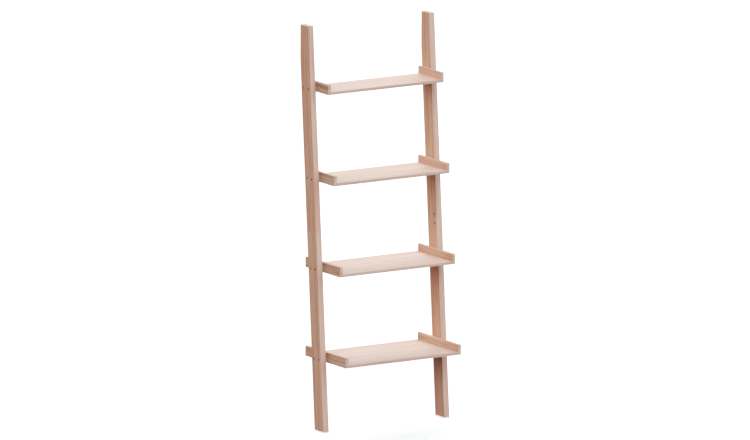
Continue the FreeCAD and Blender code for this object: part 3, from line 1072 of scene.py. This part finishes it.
@dataclass
class TrayDowels:
    """The fluted dowels between a tray's panel and its side boards."""

    tray: str
    flutes: int = 14
    flute_depth: float = 0.00025
    end_chamfer: float = 0.0006
    in_panel: float = 0.020
    glue_gap: float = 0.00005
    end_gap: float = 0.0005

    def __post_init__(self) -> None:
        """Reads the dowels' places from the frame."""
        self.low, self.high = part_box(f"{self.tray}_shelf_dowels")
        self.radius = (self.high.z - self.low.z) / 2
        self.panel_low, self.panel_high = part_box(f"{self.tray}_shelf_panel")

    def rows(self) -> list[float]:
        """Finds the dowels of one end.

        Returns:
            Y of the front dowel, of the one between the bolts, and of the rear one.
        """
        bolt_low, bolt_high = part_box(f"{self.tray}_shelf_left_bolts")
        return [self.low.y + self.radius, (bolt_low.y + bolt_high.y) / 2,
                self.high.y - self.radius]

    def ends(self, side: Side) -> tuple[float, float]:
        """Finds where the dowels of one end lie along X.

        Args:
            side: which end of the tray.

        Returns:
            X of a dowel's end in the side board, and of its end in the panel.
        """
        outer = self.high.x if side is Side.RIGHT else self.low.x
        panel = self.panel_high.x if side is Side.RIGHT else self.panel_low.x
        return outer, panel - side.value * self.in_panel

    def bore(self, work: Workpiece, side: Side) -> None:
        """Bores one end's dowel holes, in the panel or in the side board alike.

        Args:
            work: the board on the bench.
            side: which end of the tray.
        """
        outer, inner = self.ends(side)
        z = (self.low.z + self.high.z) / 2
        gap = side.value * self.end_gap
        for y in self.rows():
            start, end = Vector((outer + gap, y, z)), Vector((inner - gap, y, z))
            work.bore(start, end, self.radius + self.glue_gap)

    def build(self) -> None:
        """Makes the dowels."""
        work = Workpiece(f"{self.tray}_shelf_dowel_set")
        z = (self.low.z + self.high.z) / 2
        for side in Side:
            outer, inner = self.ends(side)
            for y in self.rows():
                fluted_rod(work.bm, Vector((outer, y, z)), Vector((inner, y, z)), self.radius,
                           self.flutes, self.flute_depth, self.end_chamfer)
        work.piece(f"{self.tray}_shelf_dowels", "dowel_beech", FINISH["dowel_beech"])


def fluted_rod(bm: bmesh.types.BMesh, start: Vector, end: Vector, radius: float, flutes: int,
               flute_depth: float, chamfer: float) -> None:
    """Adds a dowel with glue flutes and chamfered ends.

    Args:
        bm: the mesh that gets it.
        start: the middle of one end.
        end: the middle of the other end.
        radius: the dowel's radius over its ridges.
        flutes: the number of glue flutes round it.
        flute_depth: how deep they are.
        chamfer: the chamfer at each end.
    """
    axis = (end - start).normalized()
    length = (end - start).length
    old = set(bm.verts)
    profile = ((0.0, 0.0), (0.0, radius - chamfer), (chamfer, radius),
               (length - chamfer, radius), (length, radius - chamfer), (length, 0.0))
    facets_per_flute = 3
    facets = flutes * facets_per_flute
    lathe(bm, profile, start, axis, facets)
    square = axis.orthogonal().normalized()
    side = axis.cross(square)
    for vert in (v for v in bm.verts if v not in old):
        out = vert.co - start
        out -= axis * out.dot(axis)
        facet = round(math.atan2(out.dot(side), out.dot(square)) / math.tau * facets)
        if out.length > radius - chamfer / 2 and facet % facets_per_flute == 0:
            vert.co -= out.normalized() * flute_depth


# ------------------------------------------------------------------ trays


@dataclass
class Tray:
    """A shelf panel between two side boards, with what joins them."""

    name: str
    seed: int
    seed_step: int = 10
    ease: float = 0.0015

    def __post_init__(self) -> None:
        """Sets out the tray's joints."""
        self.dowels = TrayDowels(self.name)
        self.fastenings = [TrayFastening(self.name, side) for side in Side]

    def build(self) -> None:
        """Makes the panel, the side boards, the dowels, the bolts and the insert nuts."""
        self._build_panel()
        for number, fastening in enumerate(self.fastenings, 1):
            self._build_side(fastening, self.seed + self.seed_step * number)
            fastening.build()
        self.dowels.build()

    def _build_panel(self) -> None:
        """Makes the panel, whose long edges are eased and whose ends are sharp."""
        node = f"{self.name}_shelf_panel"
        low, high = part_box(node)
        work = Workpiece(f"{node}_board")
        block(work.bm, low, high)
        work.ease(self.ease, self._at_end)
        for side in Side:
            self.dowels.bore(work, side)
        if self.name == TRAYS[-1]:
            for side in Side:
                BracketScrews(side).bore(work)
        space = BoardSpace.of_box(low, high, ALONG_X, ALONG_Y)
        work.piece(node, "panel_wood", PANEL_TIMBER.dress(space, f"{node}_timber", self.seed))

    @staticmethod
    def _at_end(edge: bmesh.types.BMEdge) -> bool:
        """True for an edge of the panel's two ends, which doesn't run along X."""
        return abs((edge.verts[1].co - edge.verts[0].co).normalized().x) < 0.5

    def _build_side(self, fastening: TrayFastening, seed: int) -> None:
        """Makes one side board.

        Args:
            fastening: the bolts at this end.
            seed: the number that sets the board's wood.
        """
        node = f"{fastening.stem}_side"
        low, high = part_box(node)
        work = Workpiece(f"{node}_board")
        block(work.bm, low, high)
        work.ease(self.ease, lambda e: False)
        self.dowels.bore(work, fastening.side)
        fastening.bore_side(work)
        space = BoardSpace.of_box(low, high, ALONG_Y, ALONG_Z)
        work.piece(node, "side_wood", SIDE_TIMBER.dress(space, f"{node}_timber", seed))


# ------------------------------------------------------------------ rails


@dataclass
class Rail:
    """One leaning rail: two halves joined by cam locks and a dowel."""

    side: Side
    trays: list[Tray]
    seed: int
    ease: float = 0.0020
    cam_clearance: float = 0.0001
    cam_bolt_clearance: float = 0.0004
    cam_floor_gap: float = 0.0005
    cam_bolt_radius: float = 0.0030
    dowel_flutes: int = 18
    flute_depth: float = 0.0003
    dowel_chamfer: float = 0.0008
    glue_gap: float = 0.00005
    end_gap: float = 0.0005
    # the overrun keeps the rubbed wear and the painted edge highlight off the ends at the joint
    wear_highlight_overrun: float = 0.05        # the wood is dressed as if it went this far past the joint

    def __post_init__(self) -> None:
        """Works out the rail's lean, width and joint from its two halves in the frame."""
        self.low_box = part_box(f"{self.side.word}_rail_lower")
        self.high_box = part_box(f"{self.side.word}_rail_upper")
        (low_min, low_max), (high_min, high_max) = self.low_box, self.high_box
        self.middle_x = (low_min.x + low_max.x) / 2
        self.thickness = low_max.x - low_min.x
        front = Vector((self.middle_x, high_min.y, low_max.z))
        back = Vector((self.middle_x, low_max.y, high_min.z))
        self.joint = (front + back) / 2
        self.width = (back - front).length
        self.across = (back - front).normalized()
        self.along = ALONG_X.cross(self.across)
        self.wall_y = high_max.y
        self.top_z = high_max.z
        self.outer_x = low_min.x if self.side is Side.LEFT else low_max.x
        self.inner_x = low_max.x if self.side is Side.LEFT else low_min.x

    def spot(self, up: float, across: float, x: float) -> Vector:
        """A point given from the middle of the joint.

        Args:
            up: the distance up the rail.
            across: the distance toward the wall, square to the rail.
            x: the point's X.

        Returns:
            The point.
        """
        point = self.joint + self.along * up + self.across * across
        return Vector((x, point.y, point.z))

    def build(self) -> None:
        """Makes both halves and what joins them."""
        for half in Half:
            self._build_half(half)
        self._build_dowel()
        keep_node(f"{self.side.word}_rail_cam_locks", FINISH["cam_zinc"])
        keep_node(f"{self.side.word}_rail_cam_bolt", FINISH["bolt_steel"])

    def _blank(self, half: Half) -> Workpiece:
        """Saws one half to length, still square and with no holes.

        Args:
            half: which half it is.

        Returns:
            The half on the bench.
        """
        work = Workpiece(f"{self.side.word}_rail_{half.word}_board")
        reach = self.top_z
        turn = Matrix((ALONG_X, self.across, self.along)).transposed().to_4x4()
        size = Matrix.Diagonal((self.thickness, self.width, reach, 1.0))
        centre = self.joint + self.along * (half.value * reach / 2)
        bmesh.ops.create_cube(work.bm, size=1.0, matrix=Matrix.Translation(centre) @ turn @ size)
        if half is Half.LOWER:
            work.trim(Vector(), -ALONG_Z)
        else:
            work.trim(ALONG_Z * self.top_z, ALONG_Z)
            work.trim(ALONG_Y * self.wall_y, ALONG_Y)
        work.ease(self.ease, self._on_joint)
        return work

    def _on_joint(self, edge: bmesh.types.BMEdge) -> bool:
        """True for an edge that lies in the joint's plane."""
        return all(abs((v.co - self.joint).dot(self.along)) < PLANE_REACH for v in edge.verts)

    def _build_half(self, half: Half) -> None:
        """Makes one half with its bolt holes and its part of the joint.

        Args:
            half: which half it is.
        """
        node = f"{self.side.word}_rail_{half.word}"
        work = self._blank(half)
        for tray in self.trays:
            for fastening in tray.fastenings:
                height = fastening.axes()[0].z
                here = (height > self.joint.z) == (half is Half.UPPER)
                if fastening.side is self.side and here:
                    fastening.bore_rail(work, self.outer_x, self.thickness)
        self._bore_joint(work, half)
        box = self.low_box if half is Half.LOWER else self.high_box
        length = (box[1].z - box[0].z) / self.along.z
        centre = self.joint + self.along * (half.value * (length - self.wear_highlight_overrun) / 2)
        size = Vector((length + self.wear_highlight_overrun, self.width, self.thickness))
        space = BoardSpace(centre, self.along, self.across, size)
        seed = self.seed + half.value
        work.piece(node, "rail_wood", RAIL_TIMBER.dress(space, f"{node}_timber", seed))

    def _bore_joint(self, work: Workpiece, half: Half) -> None:
        """Cuts the cam's pocket, the cam bolt's bore and the dowel's bore.

        The cams' box gives their radius and their reach from the joint, because its height and
        its depth are two sums of the same two sizes, turned by the rail's lean.

        Args:
            work: the half on the bench.
            half: which half it is.
        """
        low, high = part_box(f"{self.side.word}_rail_cam_locks")
        lean_cos, lean_sin = self.along.z, self.along.y
        tall, deep = high.z - low.z, high.y - low.y
        reach = (tall - deep) / (lean_cos - lean_sin) / 2
        radius = deep / 2 - reach * lean_sin
        across = ((low + high) / 2 - self.joint).dot(self.across)
        up, out = half.value, self.side.value
        pocket_mouth = self.inner_x - out * OVERCUT
        pocket_floor = self.inner_x + out * (high.x - low.x + self.cam_floor_gap)
        work.bore(self.spot(up * reach, across, pocket_mouth),
                  self.spot(up * reach, across, pocket_floor), radius + self.cam_clearance, 0)
        bolt_low, bolt_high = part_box(f"{self.side.word}_rail_cam_bolt")
        bolt_x = (bolt_low.x + bolt_high.x) / 2
        work.bore(self.spot(-up * OVERCUT, across, bolt_x), self.spot(up * reach, across, bolt_x),
                  self.cam_bolt_radius + self.cam_bolt_clearance, 1)
        start, end, dowel_radius = self._dowel()
        stop = (end - start).length / 2 + self.end_gap
        middle = (start + end) / 2
        work.bore(middle - self.along * (up * OVERCUT), middle + self.along * (up * stop),
                  dowel_radius + self.glue_gap, 1)

    def _dowel(self) -> tuple[Vector, Vector, float]:
        """Finds the joint's dowel in the frame.

        Returns:
            Both ends of the dowel, and its radius.
        """
        low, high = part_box(f"{self.side.word}_rail_dowel")
        radius = (high.x - low.x) / 2
        half = ((high.z - low.z) / 2 - radius * self.along.y) / self.along.z
        middle = (low + high) / 2
        return middle - self.along * half, middle + self.along * half, radius

    def _build_dowel(self) -> None:
        """Makes the joint's dowel."""
        start, end, radius = self._dowel()
        work = Workpiece(f"{self.side.word}_rail_joint_dowel")
        fluted_rod(work.bm, start, end, radius, self.dowel_flutes, self.flute_depth,
                   self.dowel_chamfer)
        node = f"{self.side.word}_rail_dowel"
        work.piece(node, "dowel_beech", FINISH["rail_dowel_beech"])


# ------------------------------------------------------------------ wall brackets


@dataclass
class BracketScrews:
    """The two screws that hold one wall bracket to the top panel."""

    side: Side
    shank_radius: float = 0.00175
    thread_root: float = 0.0012
    thread_pitch: float = 0.0013
    head_height: float = 0.0022
    crown_share: float = 0.5
    crown_steps: int = 4
    neck_length: float = 0.0020
    thread_start: float = 0.0025
    drive_width: float = 0.0010
    drive_depth: float = 0.0012
    thread_clearance: float = 0.00005
    end_gap: float = 0.0005

    def __post_init__(self) -> None:
        """Reads the screws' places from the frame."""
        self.low, self.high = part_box(f"{self.side.word}_wall_bracket_screws")
        self.head_radius = (self.high.x - self.low.x) / 2
        self.bearing_z = self.low.z + self.head_height
        self.length = self.high.z - self.bearing_z

    def axes(self) -> list[Vector]:
        """The middle of each screw's bearing face."""
        x = (self.low.x + self.high.x) / 2
        ends = (self.low.y + self.head_radius, self.high.y - self.head_radius)
        return [Vector((x, y, self.bearing_z)) for y in ends]

    def bore(self, work: Workpiece) -> None:
        """Drills the pilot holes.

        Args:
            work: the top panel on the bench.
        """
        for start in self.axes():
            end = start + ALONG_Z * (self.length + self.end_gap)
            work.bore(start, end, self.shank_radius + self.thread_clearance)

    def _profile(self) -> list[tuple[float, float]]:
        """Draws one screw's outline.

        Returns:
            Pairs of distance from the bearing face and radius, from the head's crown to the point.
        """
        head, height, shank = self.head_radius, self.head_height, self.shank_radius
        crown = height * self.crown_share
        outline = [(-height, 0.0), (-height, head - crown)]
        for step in range(1, self.crown_steps + 1):
            angle = step / self.crown_steps * math.pi / 2
            outline.append((-height + crown * (1 - math.cos(angle)),
                            head - crown + crown * math.sin(angle)))
        outline += [(0.0, head), (0.0, shank), (self.neck_length, shank)]
        straight = self.length - shank
        for turn in range(int((straight - self.thread_start) / self.thread_pitch)):
            at = self.thread_start + turn * self.thread_pitch
            outline.append((at, self.thread_root))
            outline.append((at + self.thread_pitch / 2, shank))
        outline += [(straight, self.thread_root), (self.length, 0.0)]
        return outline

    def build(self) -> None:
        """Makes the two screws with their cross drives."""
        work = Workpiece(f"{self.side.word}_wall_bracket_screw_pair")
        wide, long = self.drive_width / 2, self.head_radius / 2
        for start in self.axes():
            lathe(work.bm, self._profile(), start, ALONG_Z, SCREW_FACETS)
            for layer, (dx, dy) in enumerate(((long, wide), (wide, long))):
                low = start + Vector((-dx, -dy, -self.head_height - OVERCUT))
                high = start + Vector((dx, dy, -self.head_height + self.drive_depth))
                block(work.cutter(layer), low, high)
        node = f"{self.side.word}_wall_bracket_screws"
        work.piece(node, "screw_steel", FINISH["screw_steel"])


@dataclass
class WallBracket:
    """A bent angle under the top panel, and its screws."""

    side: Side

    def build(self) -> None:
        """Dresses the angle and makes its screws."""
        keep_node(f"{self.side.word}_wall_bracket", FINISH["bracket_zinc"])
        BracketScrews(self.side).build()


# ------------------------------------------------------------------ studio


@dataclass(frozen=True)
class SoftLight:
    """A broad, even light.

    Attributes:
        name: the lamp's name.
        turn: where it hangs, in degrees from the front toward the left end.
        height: how high it hangs, in degrees above level.
        power: its strength in red, green and blue.
        spread: how broad it is, in degrees.
    """

    name: str
    turn: float
    height: float
    power: Colour
    spread: float = 50.0

    def toward(self) -> Vector:
        """Finds where the light is.

        Returns:
            The direction from the shelf to the light.
        """
        turn, height = math.radians(self.turn), math.radians(self.height)
        level = math.cos(height)
        return Vector((-math.sin(turn) * level, -math.cos(turn) * level, math.sin(height)))


SOFT_LIGHTS = (
    SoftLight("front_low", 0.0, 15.0, (6.25, 7.07, 7.80)),
    SoftLight("front_high", 0.0, 40.0, (5.42, 6.87, 8.28)),
    SoftLight("left_front", 45.0, 40.0, (3.23, 3.45, 3.54)),
    SoftLight("back_high", -148.0, 45.0, (10.47, 12.87, 13.91)),
    SoftLight("left_back", 148.0, 30.0, (11.11, 9.55, 8.84), 60.0),
    SoftLight("floor_bounce", 0.0, -90.0, (0.65, 0.39, 0.39), 160.0),
)


@dataclass(frozen=True)
class FilmResponse:
    """How the camera answers to light: firm in the darks and rolling off to white.

    Attributes:
        white: the amount of light that shows as white.
        contrast: the power that darkens what is under it.
        steps: the number of stretches in its curve.
    """

    white: float = 6.0
    contrast: float = 2.0
    steps: int = 20

    def shown(self, light: float) -> float:
        """The brightness shown for an amount of light, from 0 to 1."""
        rolled = light * (1 + light / self.white ** 2) / (1 + light)
        return rolled ** self.contrast

    def load(self, view: bpy.types.ColorManagedViewSettings) -> None:
        """Sets the response, with more of its points in the darks.

        Args:
            view: the scene's view settings.
        """
        view.view_transform = "Standard"
        view.use_curve_mapping = True
        mapping = view.curve_mapping
        mapping.white_level = (self.white, self.white, self.white)
        curve = mapping.curves[3]       # the one that red, green and blue share
        for step in range(1, self.steps):
            share = (step / self.steps) ** 2
            curve.points.new(share, self.shown(share * self.white))
        mapping.update()


@dataclass
class Studio:
    """A plain pale floor, soft light and a distant camera to the left of the front.

    Attributes:
        floor_reach: half the floor's width.
        floor_drop: how far the floor lies under the feet.
        floor_tone: the floor's colour, which evens out the lamps' tint.
        floor_glow: the floor's own light.
        room_glow: the room's light, which shows in the gloss.
        sky_glow: the light behind it all, past what shows as white.
        hang: the lamps' distance from the middle of the floor.
        heading: where the camera stands, in degrees from the front toward the left end.
        height_angle: how high it stands, in degrees above level.
        tilt: how far it leans over, in degrees.
        lens: its focal length in millimetres.
        sensor: its sensor's width in millimetres.
        view_width: the width that it takes in at the shelf.
        aim: the point on the shelf that the view is set out from.
        aim_right: how far right of it the view's middle is.
        aim_up: how far above it the view's middle is.
        nearest: the nearest thing that the camera sees.
        farthest: the farthest thing that it sees.
    """

    floor_reach: float = 140.0
    floor_drop: float = 0.0002
    floor_tone: Colour = (0.96, 0.87, 0.82)
    floor_glow: float = 1.7
    room_glow: float = 3.0
    sky_glow: float = 7.0
    hang: float = 4.0
    heading: float = 31.918
    height_angle: float = 11.074
    tilt: float = -0.122
    lens: float = 850.0
    sensor: float = 36.0
    view_width: float = 3.3086
    aim: Vector = field(default_factory=lambda: Vector((0.0, 0.020, 0.900)))
    aim_right: float = -0.02677
    aim_up: float = 0.01328
    nearest: float = 1.0
    farthest: float = 400.0

    def build(self) -> None:
        """Sets up the floor, the room, the lights and the camera."""
        self._floor()
        self._room()
        for lamp in SOFT_LIGHTS:
            self._sun(lamp)
        self._camera()

    def _floor(self) -> None:
        """Lays the floor a hair under the feet; it neither lights the shelf nor shows in it."""
        bm = bmesh.new()
        bmesh.ops.create_grid(bm, x_segments=1, y_segments=1, size=self.floor_reach)
        bmesh.ops.translate(bm, verts=bm.verts[:], vec=(0.0, 0.0, -self.floor_drop))
        mesh = bpy.data.meshes.new("floor")
        bm.to_mesh(mesh)
        bm.free()
        floor = bpy.data.objects.new("floor", mesh)
        bench = Bench(bpy.data.materials.new("pale_floor"))
        place = bench.node("ShaderNodeTexCoord", {}, {}, "Object")
        mesh.materials.append(bench.surface({
            "Base Color": (*self.floor_tone, 1.0),
            "Roughness": 0.50 + 0.10 * bench.noise(place, 2.0),
            "Emission Color": WHITE,
            "Emission Strength": self.floor_glow,
        }))
        bench.owner.cycles.emission_sampling = "NONE"
        bpy.context.scene.collection.objects.link(floor)
        floor.visible_diffuse = False
        floor.visible_glossy = False
        floor.visible_shadow = False

    def _room(self) -> None:
        """Sets the room's even glow, which shows in the gloss, and the white behind it all."""
        world = bpy.data.worlds.new("studio")
        bench = Bench(world)
        seen = bench.node("ShaderNodeLightPath", {}, {}, "Is Camera Ray")
        glow = self.room_glow + seen * (self.sky_glow - self.room_glow)
        inputs = {"Color": WHITE, "Strength": glow}
        bench.end(bench.node("ShaderNodeBackground", {}, inputs), "ShaderNodeOutputWorld")
        bpy.context.scene.world = world
        world.cycles_visibility.diffuse = False

    def _sun(self, lamp: SoftLight) -> None:
        """Hangs one broad, even light.

        Args:
            lamp: the light's place and strength.
        """
        light = bpy.data.lights.new(lamp.name, "SUN")
        light.energy = max(lamp.power)
        light.color = [channel / light.energy for channel in lamp.power]
        light.angle = math.radians(lamp.spread)
        hung = bpy.data.objects.new(lamp.name, light)
        hung.rotation_mode = "QUATERNION"
        hung.rotation_quaternion = lamp.toward().to_track_quat("Z", "Y")
        hung.location = lamp.toward() * self.hang
        bpy.context.scene.collection.objects.link(hung)

    def _camera(self) -> None:
        """Places the camera far off, so that parallel edges stay parallel."""
        turn, rise, tilt = (math.radians(a) for a in (self.heading, self.height_angle, self.tilt))
        back = Vector((-math.sin(turn) * math.cos(rise), -math.cos(turn) * math.cos(rise),
                       math.sin(rise)))
        level_right = Vector((math.cos(turn), -math.sin(turn), 0.0))
        level_up = back.cross(level_right)
        right = level_right * math.cos(tilt) - level_up * math.sin(tilt)
        up = level_right * math.sin(tilt) + level_up * math.cos(tilt)
        distance = self.lens / self.sensor * self.view_width
        aim = self.aim + right * self.aim_right + up * self.aim_up
        data = bpy.data.cameras.new("camera")
        data.lens = self.lens
        data.sensor_width = self.sensor
        data.clip_start = self.nearest
        data.clip_end = self.farthest
        camera = bpy.data.objects.new("camera", data)
        camera.matrix_world = Matrix.Translation(aim + back * distance) @ Matrix(
            (right, up, back)).transposed().to_4x4()
        bpy.context.scene.collection.objects.link(camera)
        bpy.context.scene.camera = camera


def main() -> None:
    """Builds the trays, the rails, the brackets and the studio in order."""
    logging.basicConfig(level=logging.INFO, format="%(message)s")
    FilmResponse().load(bpy.context.scene.view_settings)
    trays = [Tray(name, TRAY_SEED * number) for number, name in enumerate(TRAYS, 1)]
    for tray in trays:
        tray.build()
    for side in Side:
        Rail(side, trays, RAIL_SEED + RAIL_SEED_STEP * side.value).build()
        WallBracket(side).build()
    Studio().build()


if __name__ == "__main__":
    main()
